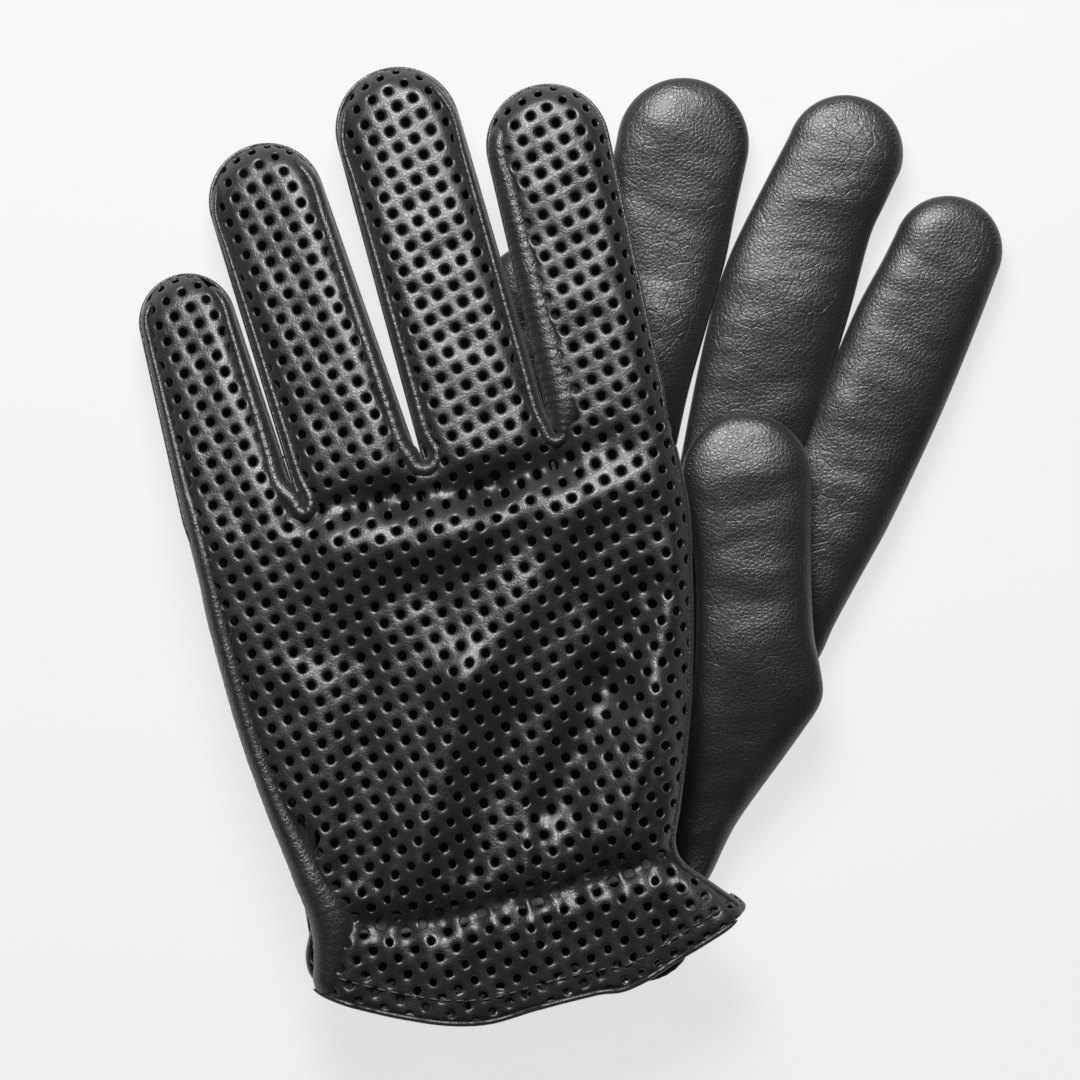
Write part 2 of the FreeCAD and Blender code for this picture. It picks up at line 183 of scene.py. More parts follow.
def leatherMaterial(name, grain, creases):
    # grain and creases scale the depth of the pebbled grain and of the creased patches.
    maker = Maker(name)
    place = maker.node("ShaderNodeTexCoord", output=3)

    def cracks(scale):
        # Distance to the nearest edge between cells.
        sockets = {"Vector": place, "Scale": scale}
        return maker.node("ShaderNodeTexVoronoi", {"feature": "DISTANCE_TO_EDGE"}, sockets)

    def spots(scale):
        return maker.node("ShaderNodeTexNoise", {}, {"Vector": place, "Scale": scale, "Detail": 3.0})

    def eased(value, high, low=0.0):
        # 0 below low and 1 above high, with a smooth step between.
        return maker.node("ShaderNodeMapRange", {"interpolation_type": "SMOOTHSTEP"},
                          {"Value": value, "From Min": low, "From Max": high})

    pebbles = eased(cracks(leather["grain"]), leather["grainEdge"])
    pores = spots(leather["pores"])
    patches = spots(leather["patches"])
    crease = eased(cracks(leather["creases"]), leather["creaseEdge"])
    creased = eased(patches, leather["creasedTo"], leather["creasedFrom"])
    relief = pebbles * (leather["grainDepth"] * grain) + pores * leather["poreDepth"]
    relief += crease * creased * (leather["creaseDepth"] * creases)
    bumpSockets = {"Strength": 0.7, "Distance": leather["relief"], "Height": relief}
    tone = (patches * 0.9 + pebbles * 0.3 - 0.25).clamp()
    colours = {0: tone, 6: leather["dark"], 7: leather["pale"]}
    maker.feed("Base Color", maker.node("ShaderNodeMix", {"data_type": "RGBA"}, colours, output=2))
    polish = pebbles * leather["grainPolish"]
    maker.feed("Roughness", patches * leather["roughnessSpread"] - polish + leather["roughness"])
    maker.feed("Normal", maker.node("ShaderNodeBump", {}, bumpSockets))
    maker.feed("Specular IOR Level", 0.5)
    maker.feed("Sheen Weight", 0.06)
    maker.feed("Sheen Roughness", 0.5)
    return maker.material


def plainMaterial(name, colour, roughness):
    maker = Maker(name)
    place = maker.node("ShaderNodeTexCoord", output=3)
    speckle = maker.node("ShaderNodeTexNoise", {}, {"Vector": place, "Scale": 1800.0, "Detail": 2.0})
    bump = maker.node("ShaderNodeBump", {}, {"Strength": 0.4, "Distance": 0.0001, "Height": speckle})
    pale = tuple(min(1.0, 2.2 * channel) for channel in colour[:3]) + (1,)
    mixed = maker.node("ShaderNodeMix", {"data_type": "RGBA"}, {0: speckle, 6: colour, 7: pale}, output=2)
    maker.feed("Base Color", mixed)
    maker.feed("Roughness", roughness)
    maker.feed("Normal", bump)
    return maker.material


smoothLeather = leatherMaterial("smoothLeather", grain=1.0, creases=1.0)
punchedLeather = leatherMaterial("punchedLeather", grain=0.55, creases=0.35)
suedeInside = plainMaterial("suedeInside", (0.0018, 0.0018, 0.0020, 1), 0.95)
suedeInside.node_tree.nodes["Principled BSDF"].inputs["Specular IOR Level"].default_value = 0.08
threadBlack = plainMaterial("threadBlack", (0.012, 0.012, 0.014, 1), 0.6)
elasticBlack = plainMaterial("elasticBlack", (0.008, 0.008, 0.009, 1), 0.8)
floorPaint = Maker("floorPaint")
floorPaint.feed("Base Color", studio["floor"] + (1,))
floorPaint.feed("Roughness", 0.9)
floorPaint.feed("Emission Color", (1, 1, 1, 1))
floorPaint.feed("Emission Strength", studio["floorGlow"])

floorHeight = cadBounds[0][2] - studio["floorGap"]
bpy.ops.mesh.primitive_plane_add(size=studio["floorSize"], location=(0, 0, floorHeight))
floor = bpy.context.object
floor.name = "floor"
floor.data.materials.append(floorPaint.material)
print("stage: camera, lights and floor are up")


# plan of the fingers, from the frame
leftShape = {      # seams: how far in from each side the back is sewn, at root and tip (- is round the side)
    "little": {"tipRadius": 12.0, "rootHalf": 14.6, "drop": 11.8,
               "seamLeft": (4.5, 4.0), "seamRight": (5.5, 3.2)},
    "ring": {"tipRadius": 14.4, "rootHalf": 15.8, "drop": 14.6,
             "seamLeft": (-2.6, -2.6), "seamRight": (5.6, 3.6)},
    "middle": {"tipRadius": 15.5, "rootHalf": 16.2, "drop": 15.0,
               "seamLeft": (-2.4, -2.6), "seamRight": (4.2, 2.6)},
    "index": {"tipRadius": 15.3, "rootHalf": 14.6, "drop": 8.5,
              "seamLeft": (9.0, 5.2), "seamRight": (-3.4, -3.4)},
}


def fingerPlan(shape, root, tip):
    along = (tip - root).normalized()
    return {**shape, "root": root, "tip": tip, "along": along, "across": Vector((along.y, -along.x)),
            "length": (tip - root).length}


def tipFromBox(node, radius):
    # The tip's centre, for a finger that leans left.
    low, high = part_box(node)
    return Vector((low.x / mm + radius, high.y / mm - radius))


left = {}
for name, shape in leftShape.items():
    hinge = Vector(joints[f"left_{name}_bend"]["pos_m"]) / mm
    left[name] = fingerPlan(shape, hinge.xy, tipFromBox(f"left_{name}_front", shape["tipRadius"]))


def local(finger, p):
    # How far along the finger a plan point is, and how far across it.
    q = p - finger["root"]
    return q.dot(finger["along"]), q.dot(finger["across"])


def halfWidth(finger, s):
    t = min(1.0, max(0.0, s / finger["length"]))
    return finger["rootHalf"] + (finger["tipRadius"] - finger["rootHalf"]) * t


def fingerDepth(finger, p, reach=-20.0):
    # Distance inwards from the finger's outline; negative outside it.
    s, a = local(finger, p)
    if s > finger["length"]:
        return finger["tipRadius"] - (p - finger["tip"]).length
    depth = halfWidth(finger, s) - abs(a)
    return min(depth, s - reach)


# lines
def smoothPath(points, spacing):
    # Evenly spaced points on a smooth line through the given ones.
    points = [Vector(point) for point in points]
    fine = []
    for i in range(len(points) - 1):
        before = points[max(0, i - 1)]
        first, second = points[i], points[i + 1]
        after = points[min(len(points) - 1, i + 2)]
        for step in range(12):
            t = step / 12
            bendPart = (2 * before - 5 * first + 4 * second - after) * t * t
            lastPart = (3 * first - before - 3 * second + after) * t ** 3
            fine.append(0.5 * (2 * first + (second - before) * t + bendPart + lastPart))
    fine.append(points[-1])
    spaced = [fine[0]]
    carried = 0.0
    for first, second in zip(fine, fine[1:]):
        step = (second - first).length
        while carried + step >= spacing:
            first = first.lerp(second, (spacing - carried) / step)
            spaced.append(first)
            step = (second - first).length
            carried = 0.0
        carried += step
    return spaced


def lineAt(line, t):
    # The point at a share of an evenly spaced line.
    place = min(len(line) - 1.001, max(0.0, t * (len(line) - 1)))
    i = int(place)
    return line[i].lerp(line[i + 1], place - i)


# the upper glove's hand and cuff
handPlan = {
    "leftEdge": [(-64, -112), (-66.5, -104), (-64.8, -92.6), (-70.4, -80), (-80.8, -54.6), (-87.8, -31.1),
                 (-92.5, -12), (-96.3, 2)],
    "rightEdge": [(44.5, -94), (43.0, -91.0), (34.0, -84.5), (27.0, -79.5), (25.4, -74), (26.7, -67),
                  (29.2, -45), (30.0, -25), (29.8, -8), (29.3, 6), (27.6, 16), (24.8, 28)],
    "knuckles": [(-99, -1), (-67.3, 10.0), (-36.0, 20.3), (-3.6, 28.0), (28, 32)],
    "bandSeam": [(-58.5, -116), (-54.6, -96), (-61.8, -83), (-71.4, -65), (-78.6, -45.6), (-85.3, -21.4),
                 (-89, -8), (-92.6, 6), (-97, 22)],
    "hem": [(-68, -104), (-67.3, -109.8), (-57.5, -114.4), (-40, -118.6), (-22, -119.6), (-7, -115.3),
            (6, -112.2), (14.5, -110.6), (29, -101.9), (42.3, -93.2), (50, -86)],
    "gather": [(-62, -94.2), (-54.4, -94.8), (-43, -95), (-28.5, -92.9), (-15.8, -89.4), (-3, -86.6),
               (15.3, -80.8), (28, -79)],
    "hemTurn": 1.1, "hemWidth": 7.0, "curl": 6.2, "mostCurl": 1.95, "level": 32.2,
    "crown": 2.0, "crownReach": 9.0,
    "crotchLine": -15, "cuffLine": -70,     # fingers part beyond the first, and the hem lies below the second
    "sideSag": (-48.0, 0.15), "cuffSag": (-84.0, 0.10),     # where each starts, and its slope
    "dropBlend": 1.2, "dropPower": 1.15,
}

for line, spacing in (("hem", 3.0), ("gather", 4.0), ("rightEdge", 4.0), ("leftEdge", 5.0)):
    handPlan[line] = smoothPath(handPlan[line], spacing)


def nearest(line, p):
    # Signed distance to an open line (positive on its right), and the length along it.
    best = (1e9, 0.0, 0.0)
    run = 0.0
    for first, second in zip(line, line[1:]):
        a = Vector(first)
        step = Vector(second) - a
        t = min(1.0, max(0.0, (p - a).dot(step) / step.length_squared))
        gap = p - (a + step * t)
        if gap.length < best[0]:
            side = step.x * (p - a).y - step.y * (p - a).x
            best = (gap.length, -1.0 if side > 0 else 1.0, run + t * step.length)
        run += step.length
    return best[0] * best[1], best[2]


def handDepth(p):
    return min(nearest(handPlan["leftEdge"], p)[0], -nearest(handPlan["rightEdge"], p)[0],
               nearest(handPlan["knuckles"], p)[0])


def gloveDepth(p):
    return max([handDepth(p)] + [fingerDepth(finger, p) for finger in left.values()])


def ownFinger(p):
    return max(left.values(), key=lambda finger: fingerDepth(finger, p, -60.0))


folds = [   # start, end, width, height: soft ridges (+) and valleys (-) on the back of the hand
    ((-66, 6.5), (-44, 11.0), 4.2, -2.6), ((-44, 11.0), (-20, 13.6), 4.2, -3.0),
    ((-20, 13.6), (-3, 20.5), 4.0, -2.8), ((-3, 20.5), (10, 24.0), 5.0, -1.2),
    ((-58, -3), (-30, 1), 8.0, 1.5), ((-30, 1), (0, 8), 7.5, 1.8), ((0, 8), (16, 14), 7.0, 1.0),
    ((-4, -4), (-26, -34), 7.5, 1.8), ((-26, -34), (-38, -78), 6.5, 2.2),
    ((19, -12), (8, -36), 6.0, -2.4), ((8, -36), (-5, -66), 6.0, -2.8),
    ((22, -40), (10, -72), 6.0, 2.4), ((-14, -44), (-24, -80), 5.0, -1.8),
    ((-52, -30), (-52, -82), 7.0, -1.6), ((-64, -34), (-58, -70), 7.0, 0.6),
    ((-40, -12), (-62, -26), 8.0, -1.0), ((26, -4), (20, -34), 5.0, 1.2), ((-14, 2), (10, -22), 5.0, -1.0),
]
foldScale = 1.5


def foldHeight(p):
    height = 0.0
    for first, second, width, rise in folds:
        a = Vector(first)
        step = Vector(second) - a
        t = min(1.0, max(0.0, (p - a).dot(step) / step.length_squared))
        gap = (p - (a + step * t)).length / width
        if gap < 3.0:
            height += foldScale * rise * math.exp(-gap * gap)
    return height


pleats = {
    "period": 8.4, "height": 2.0, "reachUp": 19.0, "reachDown": 11.0, "fanning": 0.006,
    "finePeriod": 3.9, "fineHeight": 0.35, "fineReach": 5.0,
    "dip": -3.6, "dipWidth": 3.4, "rufflePeriod": 24.0, "ruffleHeight": 1.3, "ruffleReach": 12.0,
}


def gatherHeight(p):
    # Pleats that fan out from the elastic, the dip that it pulls, and the ruffled hem below it.
    across, run = nearest(handPlan["gather"], p)
    above = -across
    reach = pleats["reachUp"] if above > 0 else pleats["reachDown"]
    wander = 2.0 * noise.noise(Vector((run * 0.09, above * 0.03, 3.0)))
    spread = run / (1.0 + pleats["fanning"] * max(0.0, above)) + wander
    wave = 1.0 - 2.0 * abs(math.sin(spread * math.pi / pleats["period"]))
    fine = math.sin(spread * 2 * math.pi / pleats["finePeriod"] + 1.3)
    size = 0.75 + 0.6 * noise.noise(Vector((run * 0.06, 0.0, 8.0)))
    height = wave * pleats["height"] * size * math.exp(-abs(above) / reach)
    height += pleats["fineHeight"] * fine * math.exp(-abs(above) / pleats["fineReach"])
    height += pleats["dip"] * math.exp(-(above / pleats["dipWidth"]) ** 2)
    ruffle = pleats["ruffleHeight"] * math.sin(run * 2 * math.pi / pleats["rufflePeriod"] + 0.6)
    return height + ruffle * min(1.0, max(0.0, -above / pleats["ruffleReach"]))


def leftLevel(p):
    # Height of the upper glove's back before it is puffed: it sags to the left, at the cuff and
    # along its fingers, whose drops blend where two of them meet.
    depths = [fingerDepth(finger, p, -60.0) for finger in left.values()]
    deepest = max(depths)
    drop = 0.0
    total = 0.0
    for finger, depth in zip(left.values(), depths):
        weight = math.exp((depth - deepest) / handPlan["dropBlend"])
        t = max(0.0, local(finger, p)[0] + 4.0) / (finger["length"] + finger["tipRadius"])
        drop += weight * finger["drop"] * t ** handPlan["dropPower"]
        total += weight
    (side, sideSlope), (cuff, cuffSlope) = handPlan["sideSag"], handPlan["cuffSag"]
    sag = drop / total + sideSlope * max(0.0, side - p.x) + cuffSlope * max(0.0, cuff - p.y)
    return handPlan["level"] - sag


def backSurface(p):
    # Where a point of the flat-cut back ends up on the glove.
    turnHem = handPlan["hemTurn"]
    hemDepth = -nearest(handPlan["hem"], p)[0] if p.y < handPlan["cuffLine"] else math.inf
    under = 0.0
    if hemDepth < turnHem:      # the hem: round the fold, then back underneath
        angle = min(math.pi, (turnHem - hemDepth) / turnHem)
        beyond = max(0.0, (turnHem - hemDepth) - math.pi * turnHem)
        inside = turnHem - turnHem * math.sin(angle) + beyond
        step = 0.2
        slope = Vector((nearest(handPlan["hem"], p + Vector((step, 0)))[0] - nearest(handPlan["hem"], p)[0],
                        nearest(handPlan["hem"], p + Vector((0, step)))[0] - nearest(handPlan["hem"], p)[0]))
        inwards = -slope.normalized()
        p = p + inwards * (inside - hemDepth)
        under = turnHem * (1 - math.cos(angle))
    depth = gloveDepth(p)
    curl = handPlan["curl"]
    fall = 0.0
    if depth < curl:
        step = 0.02       # small, so that a point near the gap's middle still falls on its own side
        slope = Vector((gloveDepth(p + Vector((step, 0))) - depth, gloveDepth(p + Vector((0, step))) - depth))
        angle = min(handPlan["mostCurl"], (curl - depth) / curl)
        moved = curl * (1 - math.sin(angle))
        if slope.length > 1e-6:
            p = p + slope.normalized() * (moved - depth)
        fall = curl * (1 - math.cos(angle))
        depth = moved
    inner = min(1.0, max(0.0, depth / handPlan["crownReach"]))
    crown = handPlan["crown"] * (1 - (1 - inner) ** 2)
    rumple = 0.55 * noise.noise(Vector((p.x * 0.11, p.y * 0.11, 1.0)))
    rumple += 0.25 * noise.noise(Vector((p.x * 0.3, p.y * 0.3, 5.0)))
    creases = (foldHeight(p) + gatherHeight(p)) * (0.25 + 0.75 * inner)
    z = leftLevel(p) - fall + crown + creases + rumple * inner - under
    return Vector((p.x * mm, p.y * mm, z * mm))


# meshes
def finish(bm, name, material):
    mesh = bpy.data.meshes.new(name)
    bm.to_mesh(mesh)
    bm.free()
    mesh.materials.append(material)
    for polygon in mesh.polygons:
        polygon.use_smooth = True
    piece = bpy.data.objects.new(name, mesh)
    scene.collection.objects.link(piece)
    return piece


def addModifiers(piece, thickness=0.0, levels=0, inside=None):
    if thickness:
        wall = piece.modifiers.new("thickness", "SOLIDIFY")
        wall.thickness = thickness * mm
        wall.offset = -1.0
        if inside:
            piece.data.materials.append(inside)
            wall.material_offset = 1
    if levels:
        smooth = piece.modifiers.new("smooth", "SUBSURF")
        smooth.levels = levels
        smooth.render_levels = levels


def baked(piece):
    # Applies a piece's modifiers.
    graph = bpy.context.evaluated_depsgraph_get()
    mesh = bpy.data.meshes.new_from_object(piece.evaluated_get(graph))
    piece.modifiers.clear()
    piece.data = mesh
    return piece


def sheetMesh(name, columns, rows, place, material, closed=False):
    # A grid laid over a surface: place takes 0 to 1 across and 0 to 1 along.
    bm = bmesh.new()
    bmesh.ops.create_grid(bm, x_segments=columns, y_segments=rows, size=0.5)
    for vertex in bm.verts:
        vertex.co = place(vertex.co.x + 0.5, vertex.co.y + 0.5)
    bmesh.ops.remove_doubles(bm, verts=bm.verts, dist=0.00001)
    if closed:
        bmesh.ops.recalc_face_normals(bm, faces=bm.faces)
    return finish(bm, name, material)


punching = {
    "pitch": 4.65, "holeRadius": 1.17, "angle": 29.0, "sheet": 300.0, "middle": (-34.0, 0.0), "rim": 0.8,
    "hangOver": 4.6, "hemOver": 2.3, "seamOver": 2.6, "tipOver": 3.4,      # how far a cell may pass each edge
    "gapDepth": 0.9,      # nearer to the outline than this, nothing may span two fingers
}
cellCorners = [(0.9, 3.2), (-3.2, 0.9), (-0.9, -3.2), (3.2, -0.9)]


def spansFingers(centre, corners):
    if centre.y <= handPlan["crotchLine"] or gloveDepth(centre) >= punching["gapDepth"]:
        return False
    return len({ownFinger(corner)["root"].x for corner in corners}) > 1


def inBack(p):
    # Whether a cell of the flat-cut back, centred there, belongs to the back.
    corners = [p + Vector(corner) for corner in cellCorners]
    if gloveDepth(p) < -punching["hangOver"] or spansFingers(p, corners):
        return False
    hemDepth = -nearest(handPlan["hem"], p)[0]
    if p.y < handPlan["cuffLine"] and hemDepth < -(handPlan["hemWidth"] + punching["hemOver"]):
        return False
    finger = ownFinger(p)
    s, a = local(finger, p)
    half = halfWidth(finger, s)
    if s > 2.0:
        t = min(1.0, s / finger["length"])
        leftInset = finger["seamLeft"][0] + (finger["seamLeft"][1] - finger["seamLeft"][0]) * t
        rightInset = finger["seamRight"][0] + (finger["seamRight"][1] - finger["seamRight"][0]) * t
        if s > finger["length"]:
            return fingerDepth(finger, p) > -punching["tipOver"]
        return -half + leftInset - punching["seamOver"] < a < half - rightInset + punching["seamOver"]
    return nearest(handPlan["bandSeam"], p)[0] > -punching["seamOver"]


def punchedBack():
    # A flat grid of cells, cut to the back's outline, each given a round hole, then laid over the glove.
    count = int(punching["sheet"] / punching["pitch"])
    bm = bmesh.new()
    bmesh.ops.create_grid(bm, x_segments=count, y_segments=count, size=count * punching["pitch"] / 2)
    turn = Matrix.Rotation(math.radians(punching["angle"]), 3, "Z")
    bmesh.ops.rotate(bm, verts=bm.verts, cent=(0, 0, 0), matrix=turn)
    bmesh.ops.translate(bm, verts=bm.verts, vec=(*punching["middle"], 0.0))
    outside = [face for face in bm.faces if not inBack(face.calc_center_median().xy)]
    bmesh.ops.delete(bm, geom=outside, context="FACES")
    for edge in list(bm.edges):
        bmesh.utils.edge_split(edge, edge.verts[0], 0.5)
    cellFaces = list(bm.faces)
    bmesh.ops.inset_individual(bm, faces=cellFaces, thickness=punching["rim"])
    for face in cellFaces:
        centre = face.calc_center_median()
        for vertex in face.verts:
            vertex.co = centre + (vertex.co - centre).normalized() * punching["holeRadius"]
    bmesh.ops.delete(bm, geom=cellFaces, context="FACES")
    bridging = [face for face in bm.faces
                if spansFingers(face.calc_center_median().xy, [vertex.co.xy for vertex in face.verts])]
    bmesh.ops.delete(bm, geom=bridging, context="FACES")
    for vertex in bm.verts:
        vertex.co = backSurface(vertex.co.xy)
    return finish(bm, "left_back_whole", punchedLeather)


def keepNormals(piece):
    # Stores the smooth normals, so that parts cut from this piece still shade as one.
    mesh = piece.data
    store = mesh.attributes.new("keptNormal", "FLOAT_VECTOR", "POINT")
    store.data.foreach_set("vector", [part for vertex in mesh.vertices for part in vertex.normal])


def cutInto(piece, parts):
    # Splits a finished mesh by its faces: parts gives each new piece's name and a test on a face's centre.
    keepNormals(piece)
    made = []
    whole = bmesh.new()
    whole.from_mesh(piece.data)
    material = piece.data.materials[0]
    owner = {}
    for face in whole.faces:
        centre = face.calc_center_median() / mm
        owner[face.index] = next((name for name, test in parts if test(centre)), parts[-1][0])
    for name, test in parts:
        bm = whole.copy()
        bm.faces.ensure_lookup_table()
        others = [face for face in bm.faces if owner[face.index] != name]
        bmesh.ops.delete(bm, geom=others, context="FACES")
        part = finish(bm, name, material)
        normals = [tuple(item.vector) for item in part.data.attributes["keptNormal"].data]
        part.data.normals_split_custom_set_from_vertices(normals)
        part.data.attributes.remove(part.data.attributes["keptNormal"])
        made.append(part)
    whole.free()
    bpy.data.objects.remove(piece)
    return made


bend = {       # where a finger's leather would start to turn, beyond its hinge line, and over what length; nothing below turns it
    "start": 4.5, "run": 20.0, "rightStart": -2.0, "thumbStart": -8.0,
    "splitBack": 1.0, "splitRoll": 3.5,      # where the back and the rolls are split between hand and finger
}
wallThickness = 1.0


def belongs(piece, slotName, *nodes):
    if nodes:
        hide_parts(*nodes)


def bendWith(piece, jointName, start=None):
    # Bakes the piece's placement into its mesh; the piece is not bent.
    hinge = Vector(joints[jointName]["pos_m"])
    axis = Vector(joints[jointName]["axis"])
    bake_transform(piece)


def beyondHinge(jointName, offset):
    # A test for faces further along a finger than its hinge line.
    hinge = Vector(joints[jointName]["pos_m"]) / mm
    axis = Vector(joints[jointName]["axis"])
    along = Vector((-axis.y, axis.x, 0)).normalized()
    return lambda centre: (centre - hinge).dot(along) > offset


def backPart(name):
    beyond = beyondHinge(f"left_{name}_bend", bend["splitBack"])
    finger = left[name]
    return lambda centre: ownFinger(centre.xy) is finger and beyond(centre)


leftBack = punchedBack()
addModifiers(leftBack, thickness=wallThickness, levels=1)
baked(leftBack)
parts = [(f"left_{name}_back_punched", backPart(name)) for name in left]
pieces = cutInto(leftBack, parts + [("left_back_punched", lambda centre: True)])
for name, piece in zip(left, pieces):
    bendWith(piece, f"left_{name}_bend")
    belongs(piece, "perforated_leather", f"left_{name}_back")
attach(pieces[-1], "left_hand")
belongs(pieces[-1], "perforated_leather", "left_back")
print("stage: punched back of the upper glove")


# skins: fingers, thumbs and palms are parts of flattened tubes, placed by an angle and a share of the length
def rounded(value, power):
    return math.copysign(abs(value) ** power, value)


def skinHeight(s, a, seed, size):
    # Soft dents and creases that run across a finger.
    slant = s + 0.35 * a * math.sin(seed)
    across = noise.noise(Vector((a * 0.05 + seed, slant * 0.12, seed)))
    fine = noise.noise(Vector((a * 0.14, slant * 0.30 + seed, seed + 4.0)))
    broad = noise.noise(Vector((a * 0.05, s * 0.045, seed + 9.0)))
    return size * (0.5 * across + 0.16 * fine + 1.1 * broad)


def fingerPlace(finger, heights, start=-8.0, power=0.72, rumple=0.5, seed=1.0, outset=0.0):
    # heights gives the middle and the half height at a distance along the finger
    length, radius = finger["length"], finger["tipRadius"] + outset
    straight = (length - start) / (length - start + 1.45 * radius)
    edges = finger.get("edges")

    def place(angle, v):
        share = 1.0
        s = start + (length - start) * min(1.0, v / straight)
        if v > straight:
            turn = (v - straight) / (1 - straight) * math.pi / 2
            share = math.cos(turn)
            s = length + radius * math.sin(turn)
            centre = finger["tip"] + finger["along"] * (s - length)
            reach = finger["across"] * radius
        elif edges:
            lower, upper = lineAt(edges[0], v / straight), lineAt(edges[1], v / straight)
            centre = (lower + upper) / 2
            reach = (upper - lower) / 2
            reach = reach * (1 + outset / reach.length)
        else:
            centre = finger["root"] + finger["along"] * s
            narrower = 1.6 * max(0.0, 1 - (s - start) / 14.0)
            reach = finger["across"] * (halfWidth(finger, s) + outset - narrower)
        turned = math.radians(angle)
        side = share * rounded(math.cos(turned), power)
        p = centre + reach * side
        middle, high = heights(s)
        high = (high + outset * 0.5) * max(share, 0.0) ** 0.8
        dent = skinHeight(s, reach.length * side, seed, rumple) * abs(math.sin(turned))
        dent *= min(1.0, share * 1.6)
        return Vector((p.x * mm, p.y * mm, (middle + high * rounded(math.sin(turned), power) + dent) * mm))
    return place


def handPlace(lines, heights, hem, power=0.5, outset=0.0, rumple=0.8, seed=1.0, crown=0.0, gathers=0.0):
    # lines are the hand's two sides in plan from cuff to fingers; the cuff's edge bends to the hem line
    def place(angle, v):
        turned = math.radians(angle)
        lower, upper = lineAt(lines[0], v), lineAt(lines[1], v)
        reach = (upper - lower) / 2
        across = rounded(math.cos(turned), power)
        p = (lower + upper) / 2 + reach * ((1 + outset / reach.length) * across)
        edge = lineAt(lines[0], 0.0).lerp(lineAt(lines[1], 0.0), (across + 1) / 2)
        target = min(hem, key=lambda point: abs(point.x - edge.x))
        p.y += (target.y + 0.3 - edge.y) * max(0.0, 1 - v / 0.22) * (1 - abs(across) ** 16)
        middle, high = heights(p)
        wide = noise.noise(Vector((p.x * 0.035, p.y * 0.035, seed)))
        close = noise.noise(Vector((p.x * 0.11, p.y * 0.13, seed + 3.0)))
        high += crown * (1 - math.cos(turned) ** 2)
        dent = rumple * (wide + 0.4 * close) * abs(math.sin(turned))
        fromElastic = v - 0.17 - 0.02 * across
        wave = 1 - 2 * abs(math.sin(reach.length * across * math.pi / 8.0 + close))
        gathered = wave * math.exp(-abs(fromElastic) / 0.09) - 1.2 * math.exp(-(fromElastic / 0.028) ** 2)
        dent += gathers * gathered * (1 - abs(across) ** 8)
        return Vector((p.x * mm, p.y * mm, (middle + high * rounded(math.sin(turned), power) + dent) * mm))
    return place


def skin(name, place, angles, material, columns=36, rows=64):
    # Angles fall, so that the outside of the leather faces outwards.
    first, last = angles
    piece = sheetMesh(name, columns, rows, lambda u, v: place(first + (last - first) * u, v), material)
    addModifiers(piece, thickness=wallThickness, levels=1, inside=suedeInside)
    return smoothShaded(baked(piece))


def smoothShaded(piece):
    for polygon in piece.data.polygons:
        polygon.use_smooth = True
    return piece


def stitches(name, marks, length, radius):
    # Short threads, each given by its middle and its direction in metres.
    bm = bmesh.new()
    for middle, direction in marks:
        made = bmesh.ops.create_uvsphere(bm, u_segments=8, v_segments=5, radius=radius * mm)
        turn = direction.to_track_quat("Z", "Y").to_matrix()
        for vertex in made["verts"]:
            vertex.co.z *= length / (2 * radius)
            vertex.co = middle + turn @ vertex.co
    return finish(bm, name, threadBlack)


def leftHeights(finger):
    def heights(s):
        p = finger["root"] + finger["along"] * s
        return leftLevel(p) - handPlan["curl"], handPlan["curl"]
    return heights


for number, (name, finger) in enumerate(left.items()):
    place = fingerPlace(finger, leftHeights(finger), power=0.6, seed=number + 2.0, outset=0.3)
    front = skin(f"left_{name}_front_leather", place, (16, -196), smoothLeather)
    bendWith(front, f"left_{name}_bend")
    belongs(front, "smooth_leather", f"left_{name}_front")
print("stage: finger fronts of the upper glove")


# rolled strips: the band along the little-finger side, and the fourchettes
def rolledStrip(name, points, topOf, halfHigh, material, seed=0.0, wrinkle=0.07, columns=20):
    # points are plan points with the roll's radius; the section is an upright oval with fine wrinkles
    spacing = 0.9
    path = smoothPath(points, spacing)
    count = len(path)

    def place(u, v):
        k = min(count - 1, max(0, round(v * (count - 1))))
        here = path[k]
        ahead = path[min(count - 1, k + 2)] - path[max(0, k - 2)]
        sideways = Vector((ahead.y, -ahead.x)).normalized()
        fromEnd = min(1.0, min(k, count - 1 - k) / 6.0)
        closing = math.sqrt(max(0.0, 1 - (1 - fromEnd) ** 2))
        run = k * spacing
        pucker = wrinkle * (noise.noise(Vector((run * 0.9, seed, 0.0))) + 0.7 * math.sin(run * 2.9 + seed))
        angle = u * 2 * math.pi
        p = here.xy + sideways * (here.z * closing * (1 + pucker) * math.cos(angle))
        high = rounded(math.sin(angle), 0.85) * halfHigh * closing + pucker * 3.0 * max(0.0, math.sin(angle))
        z = topOf(here.xy) + 0.5 * max(0.0, here.z - 2.2) - halfHigh + high
        return Vector((p.x * mm, p.y * mm, z * mm))
    piece = sheetMesh(name, columns, count - 1, place, material, closed=True)
    addModifiers(piece, levels=1)
    return smoothShaded(baked(piece))


def sidePoint(finger, side, s, radius):
    # A roll's centre on a finger's side, just inside its outline; past the length it goes round the tip.
    if s <= finger["length"]:
        p = finger["root"] + finger["along"] * s + finger["across"] * (side * (halfWidth(finger, s) - radius))
    else:
        turn = (s - finger["length"]) / finger["tipRadius"]
        reach = finger["tipRadius"] - radius
        p = finger["tip"] + finger["along"] * (reach * math.sin(turn))
        p += finger["across"] * (side * reach * math.cos(turn))
    return Vector((p.x, p.y, radius))


